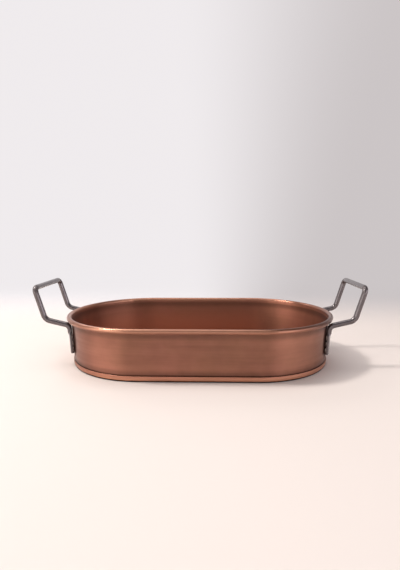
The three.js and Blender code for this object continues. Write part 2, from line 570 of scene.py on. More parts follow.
def new_material(name: str) -> tuple[bpy.types.Material, NodeBoard, Socket]:
    """Starts a material.

    Args:
        name: Its name.

    Returns:
        The material, a board on its nodes, and its Object coordinates.
    """
    material = bpy.data.materials.new(name)
    material.use_nodes = True
    board = NodeBoard(material.node_tree)
    return material, board, board.add("TexCoord").outputs["Object"]


def use(board: NodeBoard, group: Tree, **inputs: object) -> bpy.types.bpy_prop_collection:
    """The outputs of a shared effect, placed in a material with the material's own values."""
    return board.add("Group", inputs, node_tree=group).outputs


def mask(board: NodeBoard, group: Tree, **inputs: object) -> Socket:
    """The mask of a shared effect, placed in a material with the material's own values."""
    return use(board, group, **inputs)["Mask"]


def close_metal(
    board: NodeBoard, height: Socket, strength: float, depth: float, inputs: dict[str, object]
) -> None:
    """Ends a metal's material with its relief, its shader and the output.

    Args:
        board: The material's board.
        height: The relief.
        strength: How much of the relief shows.
        depth: How deep it is, in metres.
        inputs: What the shader's other inputs get.
    """
    bump = board.add("Bump", {"Strength": strength, "Distance": depth, "Height": height})
    shader = board.add("BsdfPrincipled", {**inputs, "Normal": bump.outputs["Normal"]})
    board.add("OutputMaterial", {"Surface": shader.outputs[0]})


@dataclass
class SheetMap:
    """What the marks on one copper sheet are drawn from.

    Attributes:
        board: The material's board.
        groups: The shared effects.
        place: The Object coordinates.
        inner: The mask of the sheet's inner face.
        axes: The X, Y and Z of the place.
    """

    board: NodeBoard
    groups: EffectGroups
    place: Socket
    inner: Socket
    axes: bpy.types.bpy_prop_collection = field(init=False)

    def __post_init__(self) -> None:
        """Takes the coordinates apart."""
        self.axes = self.board.axes(self.place)

    def face_share(self, outside: float, inside: float) -> Socket:
        """One value on the sheet's outer face and another on its inner one."""
        return self.board.ramp(self.inner, 0.0, 1.0, outside, inside)


@dataclass(frozen=True)
class Fade:
    """A smooth change of strength along an axis of the tray.

    Attributes:
        start: Where on the axis it starts.
        end: Where it ends.
        before: The strength before the start.
        after: The strength past the end.
        axis: The axis.
    """

    start: float
    end: float
    before: float
    after: float
    axis: str = "X"


@dataclass(frozen=True)
class Mark:
    """Colour that lies at some height of a copper sheet.

    Attributes:
        colour: The colour.
        start: The height at which it starts to show.
        full: The height at which it is full.
        share: How much of the colour there then is.
        wander: How far its edge wanders.
        outside: How much of it the sheet's outer face has.
        inside: How much of it the inner face has.
        fades: Where it fades along the tray.
    """

    colour: Colour
    start: float
    full: float
    share: float
    wander: float
    outside: float = 1.0
    inside: float = 1.0
    fades: tuple[Fade, ...] = ()

    def cover(self, sheet: SheetMap) -> Socket:
        """Finds where the mark lies.

        Args:
            sheet: The sheet.

        Returns:
            A mask of it, before its share and its fades.
        """
        level = mask(
            sheet.board,
            sheet.groups.level,
            Vector=sheet.place,
            Low=self.start,
            High=self.full,
            Wander=self.wander,
        )
        return sheet.board.times(level, sheet.face_share(self.outside, self.inside))

    def paint(self, sheet: SheetMap, colour: object, cover: Socket) -> Socket:
        """Lays the mark over a colour.

        Args:
            sheet: The sheet.
            colour: The colour below.
            cover: Where the mark lies.

        Returns:
            The colour with the mark.
        """
        strength = sheet.board.times(cover, self.share)
        for fade in self.fades:
            there = sheet.board.ramp(sheet.axes[fade.axis], fade.start, fade.end, fade.before, fade.after)
            strength = sheet.board.times(strength, there)
        return sheet.board.blend(strength, colour, self.colour)


@dataclass(frozen=True)
class HeatStainAndShade:
    """The stain that the heat of the welds left on the wall round each leg, with the leg's painted reflection
    and painted shadow, wider at the left end.

    Attributes:
        colour: The stained copper, also the painted reflection and shadow of the leg.
        centre: The middle of the stain, in the first quarter of the tray.
        reach: How far it goes from there, along X, Y and Z.
        wider_left: How much wider it is at the left end.
        changes_within: Half of the middle stretch of the tray, in which the width changes over.
        full_from: The strength of the soft spot that is already the full stain.
        outside: How much of it the wall's outer face has.
        inside: How much of it the inner face has.
        roughness: The roughness of the stained copper.
    """

    colour: Colour = (0.086, 0.033, 0.023)
    centre: Triple = (0.1815, 0.0485, 0.0420)
    reach: Triple = (0.0148, 0.0218, 0.0370)
    wider_left: float = 1.35
    changes_within: float = 0.05
    full_from: float = 0.80
    outside: float = 0.78
    inside: float = 0.12
    roughness: float = 0.75

    def cover(self, sheet: SheetMap) -> Socket:
        """Finds how strong the stain and its painted shade are.

        Args:
            sheet: The sheet.

        Returns:
            A mask of it.
        """
        board = sheet.board
        wider = board.ramp(sheet.axes["X"], -self.changes_within, self.changes_within, self.wider_left, 1.0)
        widening = board.add("CombineXYZ", {"X": wider, "Y": wider, "Z": 1.0}).outputs[0]
        reach = board.vector("MULTIPLY", widening, self.reach)
        spot = mask(board, sheet.groups.spot, Vector=sheet.place, Centre=self.centre, Reach=reach)
        strength = board.ramp(spot, 0.0, self.full_from)
        return board.times(strength, sheet.face_share(self.outside, self.inside))


@dataclass(frozen=True)
class CopperFinish:
    """Antique copper: brushed to a satin, darkened and lacquered, and rubbed bright along its edge, with
    painted light and shade laid over it.

    Attributes:
        name: The material's name.
        slot: The record's slot.
        run: The way that it was brushed.
        clear: The copper itself.
        aged: The copper where it has darkened.
        marks: The marks that lie below the rubbed edge and the dark foot, in order, such as painted shade and
            painted reflections.
        rubbed_edge_and_highlight: The edge that is rubbed bright and carries a painted highlight, the rim of
            the wall or the lip of the base.
        dark_foot: Dirt and painted shade at the foot of the sheet: tarnish in the groove above the wall's lip
            with the painted reflection of the contact shadow, and the painted contact shadow along the base's
            lower bend.
        worn_roughness: The roughness of the rubbed edge.
        inner_roughness: The roughness of the inner face.
        foot_radius: The radius of the middle of the sheet at its foot.
        stretch: How far the brushing stretches a highlight.
        stretch_turn: The turn of that stretch, as a part of a full turn.
        patina: The browner copper of the widest clouds.
        ageing: How much of the aged copper the clouds and the streaks bring in together.
        cloud_ageing: The clouds' part in that.
        streak_ageing: The streaks' part in that.
        cloud_sheen: The clouds' part in the roughness.
        streak_sheen: The streaks' part in the roughness.
        roughness: The roughness of the outer face, at its smoothest and its roughest.
        relief: How much of the brushed relief shows.
        relief_depth: How deep that is, in metres.
        straight_half: Half of the oval's straight side.
        slope: How far the sheet goes outwards for each metre that it goes up.
        heat: The stain of the welds, with the painted reflection and shadow of the legs.
    """

    name: str
    slot: Slot
    run: GrainRun
    clear: Colour
    aged: Colour
    marks: tuple[Mark, ...]
    rubbed_edge_and_highlight: Mark
    dark_foot: Mark
    worn_roughness: float
    inner_roughness: float
    foot_radius: float
    stretch: float
    stretch_turn: float = 0.25
    patina: Colour = (0.266, 0.145, 0.070)
    patina_scale: float = 9.0
    patina_share: float = 0.24
    ageing: float = 0.60
    cloud_ageing: float = 0.50
    streak_ageing: float = 0.55
    mottle_scale: float = 20.0
    grain_pitch: float = 330.0
    cloud_sheen: float = 0.4
    streak_sheen: float = 0.6
    roughness: Pair = (0.45, 0.55)
    relief: float = 0.12
    relief_depth: float = 0.00015
    coat: float = 0.25
    coat_roughness: float = 0.20
    straight_half: float = 0.0795
    slope: float = 0.0449
    heat: HeatStainAndShade = HeatStainAndShade()

    def build(self, groups: EffectGroups) -> bpy.types.Material:
        """Makes the material.

        Args:
            groups: The shared effects.

        Returns:
            The material.
        """
        material, board, place = new_material(self.name)
        inner = mask(
            board,
            groups.inner,
            Vector=place,
            Straight=self.straight_half,
            Foot=self.foot_radius,
            Slope=self.slope,
        )
        sheet = SheetMap(board, groups, place, inner)
        squeeze = tuple(1.0 / length for length in self.run.value)
        brushed = board.add("Mapping", {"Vector": place, "Scale": squeeze}).outputs[0]
        grain = use(board, groups.grain, Vector=brushed, Pitch=self.grain_pitch)
        clouds = mask(board, groups.mottle, Vector=place, Scale=self.mottle_scale)
        # The rubbed edge carries a painted highlight, the dark foot painted shade, and the heat stain the
        # painted reflection and shadow of the legs.
        rubbed_and_highlit = self.rubbed_edge_and_highlight.cover(sheet)
        foot_dirt_and_shade = self.dark_foot.cover(sheet)
        heat_stain_and_shade = self.heat.cover(sheet)

        colour = self._aged_colour(sheet, grain["Streaks"], clouds)
        for mark in self.marks:
            colour = mark.paint(sheet, colour, mark.cover(sheet))
        colour = self.rubbed_edge_and_highlight.paint(sheet, colour, rubbed_and_highlit)
        colour = self.dark_foot.paint(sheet, colour, foot_dirt_and_shade)
        colour = board.blend(heat_stain_and_shade, colour, self.heat.colour)

        sheen = board.weigh(clouds, self.cloud_sheen, grain["Streaks"], self.streak_sheen)
        roughness = board.ramp(sheen, 0.0, 1.0, *self.roughness)
        roughness = board.ramp(inner, 0.0, 1.0, roughness, self.inner_roughness)
        roughness = board.ramp(rubbed_and_highlit, 0.0, 1.0, roughness, self.worn_roughness)
        roughness = board.ramp(heat_stain_and_shade, 0.0, 1.0, roughness, self.heat.roughness)
        uncoated = board.maths("MAXIMUM", foot_dirt_and_shade, heat_stain_and_shade)
        close_metal(
            board,
            grain["Height"],
            self.relief,
            self.relief_depth,
            {
                "Base Color": colour,
                "Metallic": 1.0,
                "Roughness": roughness,
                "Anisotropic": self.stretch,
                "Anisotropic Rotation": self.stretch_turn,
                "Coat Weight": board.ramp(uncoated, 0.0, 1.0, self.coat, 0.0),
                "Coat Roughness": self.coat_roughness,
            },
        )
        return material

    def _aged_colour(self, sheet: SheetMap, streaks: Socket, clouds: Socket) -> Socket:
        """Mixes the copper's own colours, before any mark.

        Args:
            sheet: The sheet.
            streaks: The wider brushed streaks.
            clouds: The soft clouds.

        Returns:
            The colour.
        """
        board = sheet.board
        age = board.weigh(clouds, self.cloud_ageing, streaks, self.streak_ageing)
        colour = board.blend(board.times(age, self.ageing), self.clear, self.aged)
        wide_clouds = mask(board, sheet.groups.mottle, Vector=sheet.place, Scale=self.patina_scale)
        return board.blend(board.times(wide_clouds, self.patina_share), colour, self.patina)


# Dark copper: tarnish in the groove at the wall's foot, and painted shade under the rim, inside the tray, on
# the rim's right end and along the base's contact line.
TARNISH_AND_SHADE: Colour = (0.034, 0.014, 0.010)
# Bright copper: the rim and lip rubbed bright, with a painted highlight on them.
RUBBED_AND_HIGHLIT_COPPER: Colour = (0.678, 0.339, 0.217)
# The heights at which the inside starts to count as deep, and is fully so.
DEEP_FROM = 0.0680
DEEP_FULL = 0.0200
# The heights over which the wall turns into its rim.
RIM_FROM = 0.0664
RIM_FULL = 0.0692
# How far a soft edge wanders, and a clean one.
SOFT_WANDER = 0.0040
CLEAN_WANDER = 0.0004


def deep_inside(colour: Colour, share: float, *fades: Fade) -> Mark:
    """Colour that lies deep inside the tray.

    Args:
        colour: The colour.
        share: How much of it there is.
        fades: Where it fades along the tray.

    Returns:
        The mark.
    """
    return Mark(colour, DEEP_FROM, DEEP_FULL, share, SOFT_WANDER, outside=0.0, fades=fades)


def painted_light_inside(colour: Colour) -> Mark:
    """Painted light deep inside the tray, which fades to the right: a painted reflection where its colour is
    brighter than the copper, and painted shade where it is darker.
    """
    return deep_inside(colour, 1.0, Fade(start=0.070, end=0.125, before=0.82, after=0.12))


def wall_copper() -> CopperFinish:
    """Describes the copper of the wall and its rim.

    Returns:
        The finish.
    """
    # Painted shade under the rim, stronger towards the right end.
    painted_shade_under_rim = Mark(
        TARNISH_AND_SHADE,
        start=0.0530,
        full=0.0620,
        share=1.0,
        wander=0.0015,
        fades=(
            Fade(start=0.06, end=0.15, before=0.36, after=0.53),
            Fade(start=0.0640, end=0.0660, before=1.0, after=0.0, axis="Z"),
        ),
    )
    shade_inside = deep_inside(
        TARNISH_AND_SHADE,
        0.45,
        Fade(start=0.095, end=0.130, before=0.0, after=1.0),
        Fade(start=0.150, end=0.182, before=1.0, after=0.0),
    )
    # Painted shade on the front of the rim's right end.
    painted_shade_rim_end = Mark(
        TARNISH_AND_SHADE,
        start=RIM_FROM,
        full=RIM_FULL,
        share=0.60,
        wander=CLEAN_WANDER,
        fades=(
            Fade(start=0.120, end=0.160, before=0.0, after=1.0),
            Fade(start=-0.05, end=0.0, before=1.0, after=0.0, axis="Y"),
        ),
    )
    # Darker towards the foot, on the wall's outer face.
    darker_towards_foot = Mark(TARNISH_AND_SHADE, start=0.0190, full=0.0084, share=0.40, wander=SOFT_WANDER, inside=0.0)
    return CopperFinish(
        "antique_copper_wall",
        Slot.WALL,
        GrainRun.LEVEL,
        clear=(0.374, 0.156, 0.104),
        aged=(0.258, 0.107, 0.073),
        # Painted shade under the rim, a painted reflection and painted shade inside, painted shade on the
        # rim's right end, and darker copper towards the foot.
        marks=(painted_shade_under_rim, painted_light_inside((0.620, 0.216, 0.122)), shade_inside, painted_shade_rim_end, darker_towards_foot),
        # The rim is rubbed bright, with a painted highlight that weakens towards the right end.
        rubbed_edge_and_highlight=Mark(
            RUBBED_AND_HIGHLIT_COPPER,
            start=RIM_FROM,
            full=RIM_FULL,
            share=0.38,
            wander=CLEAN_WANDER,
            fades=(Fade(start=0.020, end=0.150, before=1.0, after=0.15),),
        ),
        # Tarnish in the groove above the lip, with the painted reflection of the contact shadow.
        dark_foot=Mark(TARNISH_AND_SHADE, start=0.0105, full=0.0084, share=0.75, wander=0.0010, inside=0.0),
        worn_roughness=0.37,
        inner_roughness=0.55,
        foot_radius=0.1108,
        stretch=0.80,
    )


def base_copper() -> CopperFinish:
    """Describes the copper of the base: its lip, which is rubbed bright and carries a painted highlight, and
    its floor, which is not rubbed and is painted darker at the left as painted shade.

    Returns:
        The finish.
    """
    return CopperFinish(
        "antique_copper_base",
        Slot.BASE,
        GrainRun.ALONG_THE_TRAY,
        clear=(0.470, 0.200, 0.130),
        aged=(0.325, 0.135, 0.089),
        # The floor inside is painted darker at the left, as painted shade against the lamps from the left.
        marks=(painted_light_inside((0.300, 0.124, 0.082)),),
        # The lip is rubbed bright, with a painted highlight that is weak at the left end and stronger to the
        # right.
        rubbed_edge_and_highlight=Mark(
            RUBBED_AND_HIGHLIT_COPPER,
            start=0.0074,
            full=0.0040,
            share=0.60,
            wander=CLEAN_WANDER,
            inside=0.0,
            fades=(
                Fade(start=-0.155, end=-0.120, before=0.10, after=1.0),
                Fade(start=0.075, end=0.110, before=1.0, after=1.60),
            ),
        ),
        # Painted contact shadow along the lower bend of the base.
        dark_foot=Mark(TARNISH_AND_SHADE, start=0.0027, full=0.0017, share=0.97, wander=0.0010, inside=0.0),
        worn_roughness=0.36,
        inner_roughness=0.56,
        foot_radius=0.1080,
        stretch=0.0,
    )


@dataclass(frozen=True)
class IronFinish:
    """Iron rod: mill scale under a satin lacquer, rubbed at the upper bends and darker at the legs."""

    name: str = "iron_rod"
    slot: Slot = Slot.HANDLE
    clear: Colour = (0.132, 0.108, 0.110)
    scale_dark: Colour = (0.092, 0.074, 0.076)
    scale_share: float = 0.50
    brown: Colour = (0.120, 0.085, 0.076)
    brown_share: float = 0.20
    leg_share: float = 0.40
    rubbed: Colour = (0.260, 0.228, 0.228)
    rubbed_share: float = 0.15
    scratched_share: float = 0.35
    metallic: float = 0.80
    roughness: Pair = (0.26, 0.36)
    relief: float = 0.05
    relief_depth: float = 0.00012
    coat: float = 0.70
    coat_roughness: float = 0.21
    mottle_scale: float = 70.0
    brown_scale: float = 28.0
    pit_scale: float = 600.0
    scratch_scale: float = 420.0
    scratch_detail: float = 2.0
    scratch_range: Pair = (0.60, 0.72)
    noise_roughness: float = 0.5
    pit_height_share: float = 0.5
    bend_roughness: float = 0.50
    bend_coat: float = 0.30
    bend_full_from: float = 0.6
    bend_centre: Triple = (0.2335, 0.0475, 0.1130)
    bend_reach: Triple = (0.0085, 0.0085, 0.0085)
    leg_centre: Triple = (0.1840, 0.0483, 0.0350)
    leg_reach: Triple = (0.0100, 0.0130, 0.0330)

    def build(self, groups: EffectGroups) -> bpy.types.Material:
        """Makes the material.

        Args:
            groups: The shared effects.

        Returns:
            The material.
        """
        material, board, place = new_material(self.name)
        mottle = mask(board, groups.mottle, Vector=place, Scale=self.mottle_scale)
        brown = mask(board, groups.mottle, Vector=place, Scale=self.brown_scale)
        bend = mask(board, groups.spot, Vector=place, Centre=self.bend_centre, Reach=self.bend_reach)
        leg = mask(board, groups.spot, Vector=place, Centre=self.leg_centre, Reach=self.leg_reach)
        pits = board.noise(place, self.pit_scale, roughness=self.noise_roughness)
        lines = board.noise(place, self.scratch_scale, self.scratch_detail, self.noise_roughness)
        scratches = board.ramp(lines, *self.scratch_range)

        colour = board.blend(board.times(mottle, self.scale_share), self.clear, self.scale_dark)
        colour = board.blend(board.times(brown, self.brown_share), colour, self.brown)
        colour = board.blend(board.times(leg, self.leg_share), colour, self.scale_dark)
        rub = board.maths("MULTIPLY_ADD", scratches, self.scratched_share, self.rubbed_share)
        colour = board.blend(board.times(bend, rub), colour, self.rubbed)

        roughness = board.ramp(mottle, 0.0, 1.0, *self.roughness)
        roughness = board.ramp(bend, 0.0, self.bend_full_from, roughness, self.bend_roughness)
        close_metal(
            board,
            board.weigh(pits, self.pit_height_share, mottle, 1.0 - self.pit_height_share),
            self.relief,
            self.relief_depth,
            {
                "Base Color": colour,
                "Metallic": self.metallic,
                "Roughness": roughness,
                "Coat Weight": board.ramp(bend, 0.0, self.bend_full_from, self.coat, self.bend_coat),
                "Coat Roughness": self.coat_roughness,
            },
        )
        return material


@dataclass(frozen=True)
class DullMetalFinish:
    """A plain dull metal with clouds of a second colour: weld, solder or wire."""

    name: str
    slot: Slot
    clear: Colour
    clouded: Colour
    metallic: float
    roughness: Pair
    cloud_scale: float
    relief: float
    relief_depth: float = 0.0002
    pit_fineness: float = 6.0
    pit_detail: float = 4.0
    pit_roughness: float = 0.65
    pit_range: Pair = (0.3, 0.7)
    pit_height_share: float = 0.6

    def build(self, groups: EffectGroups) -> bpy.types.Material:
        """Makes the material.

        Args:
            groups: The shared effects.

        Returns:
            The material.
        """
        material, board, place = new_material(self.name)
        clouds = mask(board, groups.mottle, Vector=place, Scale=self.cloud_scale)
        pit_scale = self.cloud_scale * self.pit_fineness
        pits = board.noise(place, pit_scale, self.pit_detail, self.pit_roughness)
        close_metal(
            board,
            board.weigh(pits, self.pit_height_share, clouds, 1.0 - self.pit_height_share),
            self.relief,
            self.relief_depth,
            {
                "Base Color": board.blend(clouds, self.clear, self.clouded),
                "Metallic": self.metallic,
                "Roughness": board.ramp(pits, *self.pit_range, *self.roughness),
            },
        )
        return material


DRAWN_WIRE = DullMetalFinish(
    "drawn_wire",
    Slot.WIRE,
    clear=(0.270, 0.255, 0.235),
    clouded=(0.140, 0.110, 0.090),
    metallic=0.95,
    roughness=(0.35, 0.55),
    cloud_scale=160.0,
    relief=0.15,
)
PLATED_SOLDER = DullMetalFinish(
    "plated_solder",
    Slot.SOLDER,
    clear=(0.300, 0.130, 0.085),
    clouded=(0.170, 0.085, 0.060),
    metallic=0.95,
    roughness=(0.40, 0.60),
    cloud_scale=90.0,
    relief=0.35,
)
TACK_WELD = DullMetalFinish(
    "tack_weld",
    Slot.WELD,
    clear=(0.230, 0.180, 0.160),
    clouded=(0.050, 0.028, 0.022),
    metallic=0.90,
    roughness=(0.22, 0.50),
    cloud_scale=520.0,
    relief=0.8,
)


@dataclass
class CopperBody:
    """The tray without its handles: the wall with its wired rim, the base, and the solder between them."""

    path: OvalPath = field(default_factory=OvalPath)
    sheet_thickness: float = 0.0008
    bead_radius: float = 0.003498
    bead_centre_radius: float = 0.1170
    bead_centre_height: float = 0.0688
    bead_sides: int = 72
    curl_turn: float = 310.0
    wall_flare: float = 0.0030
    wall_foot_height: float = 0.0020
    wall_steps: int = 12
    wire_sides: int = 20
    lip_height: float = 0.0080
    lip_bend_radius: float = 0.0020
    lip_bend_sides: int = 48
    lip_swell: float = 0.00030
    lip_steps: int = 8
    floor_steps: int = 6
    seat_clearance: float = 0.0003
    solder_width: float = 0.0030
    solder_sides: int = 48
    solder_clearance: float = 0.00002
    solder_crease: float = 50.0
    edge_rounding: float = 0.00018
    lip_rounding: float = 0.00030
    rounded_above: float = 60.0

    @property
    def sheet_bead_radius(self) -> float:
        """The radius of the middle of the curled sheet."""
        return self.bead_radius - self.sheet_thickness / 2

    @property
    def wall_slope(self) -> float:
        """How far the wall goes outwards for each metre that it goes up."""
        return self.wall_flare / (self.bead_centre_height - self.wall_foot_height)

    def wall_radius(self, height: float) -> float:
        """The radius of the middle of the wall's sheet at a height."""
        top_radius = self.bead_centre_radius - self.sheet_bead_radius
        return top_radius - self.wall_slope * (self.bead_centre_height - height)

    def _ring(self, name: str, sides: int, radius: float, at_radius: float, height: float) -> Workpiece:
        """Starts a section from a circle that stands upright at the start of the oval."""
        upright = (0, math.pi / 2, 0)
        return Workpiece.circle(name, sides, radius, self.path.section_point(at_radius, height), upright)

    def _keep_arc(self, piece: Workpiece, at_radius: float, height: float, low: float, high: float) -> None:
        """Keeps an arc of a section's circle.

        Args:
            piece: The piece that holds the circle.
            at_radius: The radius of the oval at the circle's centre.
            height: The height of the circle's centre.
            low: The angle at which the arc starts, in degrees.
            high: The angle at which it ends.
        """
        margin = 0.5

        def past_the_arc(point: Vector) -> bool:
            """Whether a point lies outside the arc, counted round from the arc's own start."""
            turn = self.path.section_angle(point, at_radius, height) - low + margin
            return turn % 360.0 > high - low + 2 * margin

        piece.select(past_the_arc)
        bpy.ops.mesh.delete(type="VERT")

    def _sheet(self, piece: Workpiece, rounding: float) -> None:
        """Makes a sheet of a bare section: carries it round the oval, thickens it and rounds its edges.

        Args:
            piece: The piece that holds the section.
            rounding: The width of the rounding.
        """
        self.path.carry(piece)
        piece.modifier("SOLIDIFY", thickness=self.sheet_thickness, offset=0.0, use_even_offset=True)
        piece.bevel(rounding, self.rounded_above)
        piece.smooth()

    def build_wall(self) -> Workpiece:
        """Models the wall: a circle opened to the curl, its inner end drawn down to the foot, and both swept.

        Returns:
            The wall.
        """
        at, height = self.bead_centre_radius, self.bead_centre_height
        piece = self._ring("wall_and_curled_rim", self.bead_sides, self.sheet_bead_radius, at, height)
        top_of_wall = at - self.sheet_bead_radius

        def at_top_of_wall(point: Vector) -> bool:
            """Whether a point is the inner end of the curl."""
            return abs(-point.y - top_of_wall) < ON_LEVEL and abs(point.z - height) < ON_LEVEL

        with Editing(piece):
            self._keep_arc(piece, at, height, self.path.INWARDS - self.curl_turn, self.path.INWARDS)
            piece.select(at_top_of_wall)
            piece.extrude((0, self.wall_flare, self.wall_foot_height - height), self.wall_steps)
        self._sheet(piece, self.edge_rounding)
        return piece

    def build_rim_wire(self) -> Workpiece:
        """Models the stiffening wire inside the rim.

        Returns:
            The wire.
        """
        radius = self.bead_radius - self.sheet_thickness - self.seat_clearance
        at, height = self.bead_centre_radius, self.bead_centre_height
        piece = self._ring("rim_stiffening_wire", self.wire_sides, radius, at, height)
        self.path.carry(piece)
        piece.smooth()
        return piece

    def build_base(self) -> Workpiece:
        """Models the base: a bend drawn inwards to a floor and upwards to a slightly swollen lip, and swept.

        Returns:
            The base.
        """
        lip_foot = self.wall_radius(self.lip_bend_radius) + self.sheet_thickness + self.seat_clearance
        lip_top = self.wall_radius(self.lip_height) + self.sheet_thickness + self.seat_clearance
        bend = self.lip_bend_radius
        bend_middle = bend - self.sheet_thickness / 2
        bend_at = lip_foot - bend_middle
        piece = self._ring("base_with_turned_lip", self.lip_bend_sides, bend_middle, bend_at, bend)
        rise = (self.lip_height - bend) / self.lip_steps
        with Editing(piece):
            self._keep_arc(piece, bend_at, bend, self.path.DOWN, self.path.OUTWARDS)
            piece.select_level(bend)
            swell_before = 0.0
            for step in range(1, self.lip_steps + 1):
                swell = self.lip_swell * math.sin(math.pi * step / self.lip_steps)
                outward = (lip_top - lip_foot) / self.lip_steps + swell - swell_before
                piece.extrude((0, -outward, rise))
                swell_before = swell
            piece.select_level(bend - bend_middle)
            piece.extrude((0, bend_at, 0), self.floor_steps)
        self._sheet(piece, self.lip_rounding)
        return piece

    def build_solder(self) -> Workpiece:
        """Models the solder: a hollow fillet that runs round the corner between floor and wall.

        Returns:
            The solder.
        """
        gap = self.solder_clearance
        floor = self.sheet_thickness
        top = floor + self.solder_width
        wall_face = self.wall_radius(floor) - self.sheet_thickness / 2 - gap
        lean = self.wall_radius(top) - self.wall_radius(floor)
        hollow_at = wall_face + lean - self.solder_width
        piece = self._ring("floor_solder_fillet", self.solder_sides, self.solder_width, hollow_at, top)
        with Editing(piece):
            self._keep_arc(piece, hollow_at, top, self.path.DOWN, self.path.OUTWARDS)
            piece.select_level(top)
            piece.extrude((0, lean, gap - self.solder_width))
            piece.select(lambda point: point.z < floor + gap + ON_LEVEL)
            bpy.ops.mesh.edge_face_add()
        self.path.carry(piece)
        piece.smooth(self.solder_crease)
        return piece

    def dress(self, groups: EffectGroups) -> None:
        """Builds each piece of the body and gives it its finish.

        Args:
            groups: The shared effects.
        """
        pieces = (
            (self.build_wall, wall_copper(), "tray_wall"),
            (self.build_rim_wire, DRAWN_WIRE, "rim_wire"),
            (self.build_base, base_copper(), "base_pan"),
            (self.build_solder, PLATED_SOLDER, "base_solder"),
        )
        for build, finish, node in pieces:
            build().hand_over(finish.build(groups), finish.slot, node)


@dataclass
class RodHandles:
    """The two handles: each one rod, bent to a grip, two arms and two legs, with the welds of its legs."""

    body: CopperBody
    rod_radius: float = 0.0039
    leg_spacing: float = 0.0965
    leg_length: float = 0.0403
    leg_thickness: float = 0.0043
    leg_width: float = 0.0115
    leg_end_rounding: float = 0.0005
    rounded_above: float = 70.0
    press_run: float = 0.0060
    arm_reach: float = 0.2212
    arm_rise: float = 0.0085
    grip_lean: float = 0.0136
    grip_rise: float = 0.0460
    bend_radii: Triple = (0.0090, 0.0120, 0.0080)
    leg_clearance: float = 0.0007
    arm_clearance: float = 0.0013
    rod_sides: int = 32
    bend_steps: int = 14
    leg_steps: int = 8
    press_steps: int = 12
    leg_top_steps: int = 2
    arm_steps: int = 5
    upright_steps: int = 8
    grip_steps: int = 8
    weld_length: float = 0.0072
    weld_width: float = 0.0026
    weld_segments: int = 16
    weld_rings: int = 22
    weld_ripple: float = 0.86
    weld_plain_rings: int = 3
    weld_crease: float = 60.0
    weld_seed: int = 11
    weld_thickness_range: Pair = (0.92, 1.08)
    weld_length_range: Pair = (0.9, 1.06)

    @property
    def leg_top(self) -> float:
        """The height of the corner between a leg and its arm."""
        return self.body.bead_centre_height - self.body.bead_radius - self.arm_clearance - self.rod_radius

    @property
    def leg_end(self) -> float:
        """The height of a leg's lower end."""
        return self.leg_top - self.leg_length

    def leg_centre_x(self, height: float) -> float:
        """Finds where the centre of a leg stands, so that it follows the wall.

        Args:
            height: The height.

        Returns:
            Its X at that height.
        """
        outside = self.body.wall_radius(height) + self.body.sheet_thickness / 2
        away = outside + self.leg_clearance + self.leg_thickness / 2
        return self.body.path.straight_half + math.sqrt(away**2 - (self.leg_spacing / 2) ** 2)

    def half_corners(self) -> list[Vector]:
        """Finds the corners of the rod's centre line.

        Returns:
            The corners from the end of the front leg to the middle of the grip.
        """
        front = -self.leg_spacing / 2
        arm_height = self.leg_top + self.arm_rise
        grip = Vector((self.arm_reach + self.grip_lean, front, arm_height + self.grip_rise))
        return [
            Vector((self.leg_centre_x(self.leg_end), front, self.leg_end)),
            Vector((self.leg_centre_x(self.leg_top), front, self.leg_top)),
            Vector((self.arm_reach, front, arm_height)),
            grip,
            Vector((grip.x, 0.0, grip.z)),
        ]

    def leg_frame(self) -> Matrix:
        """Finds the front leg's own axes, at its end.

        Returns:
            The axes: X away from the wall, and Z up along the leg.
        """
        end, top = self.half_corners()[:2]
        up = (top - end).normalized()
        outward = Vector((end.x - self.body.path.straight_half, end.y, 0.0)).normalized()
        away = (outward - self.body.wall_slope * Vector((0, 0, 1))).normalized()
        along = up.cross(away)
        return Matrix.Translation(end) @ Matrix((away, along, up)).transposed().to_4x4()

    def build_rod(self) -> Workpiece:
        """Models the right handle: half of the rod drawn and bent, its leg pressed flat, and then mirrored.

        Returns:
            The handle.
        """
        corners = self.half_corners()
        lean = (0, math.atan2(corners[1].x - corners[0].x, corners[1].z - corners[0].z), 0)
        piece = Workpiece.circle("right_rod_handle", self.rod_sides, self.rod_radius, corners[0], lean)
        with Editing(piece):
            bpy.ops.mesh.select_all(action="SELECT")
            self._draw_half(piece, corners)
        self._press_leg(piece)
        piece.modifier("MIRROR", use_axis=(False, True, False), merge_threshold=ON_LEVEL)
        with Editing(piece):
            piece.merge()
            bpy.ops.mesh.select_all(action="DESELECT")
            bpy.ops.mesh.select_non_manifold()
            bpy.ops.mesh.fill_holes(sides=0)
            bpy.ops.mesh.select_all(action="SELECT")
            bpy.ops.mesh.normals_make_consistent(inside=False)
        piece.bevel(self.leg_end_rounding, self.rounded_above)
        piece.smooth()
        return piece

    def _draw_half(self, piece: Workpiece, corners: list[Vector]) -> None:
        """Draws the rod from the end of the front leg to the middle of the grip, and bends it on the way.

        Args:
            piece: The piece that holds the rod's circle.
            corners: The corners of the rod's centre line.
        """
        # The leg comes first, and _draw_leg has its own steps.
        straight_steps = (0, self.arm_steps, self.upright_steps)
        here = corners[0]
        for bend, radius in enumerate(self.bend_radii):
            before, corner, after = corners[bend : bend + 3]
            into = (corner - before).normalized()
            out = (after - corner).normalized()
            turn = into.angle(out)
            setback = radius * math.tan(turn / 2)
            start = corner - setback * into
            if bend == 0:
                self._draw_leg(piece, into, (start - here).length)
            else:
                piece.extrude(start - here, straight_steps[bend])
            inward = (out - out.dot(into) * into).normalized()
            piece.spin(turn, start + radius * inward, into.cross(out), self.bend_steps)
            here = corner + setback * out
        piece.extrude(corners[-1] - here, self.grip_steps)

    def _press_levels(self, length: float) -> Pair:
        """Where on the leg the pressed part starts to blend into the rod, and where it has done so."""
        blend_end = min(self.leg_length - self.bend_radii[0], length)
        return blend_end - self.press_run, blend_end

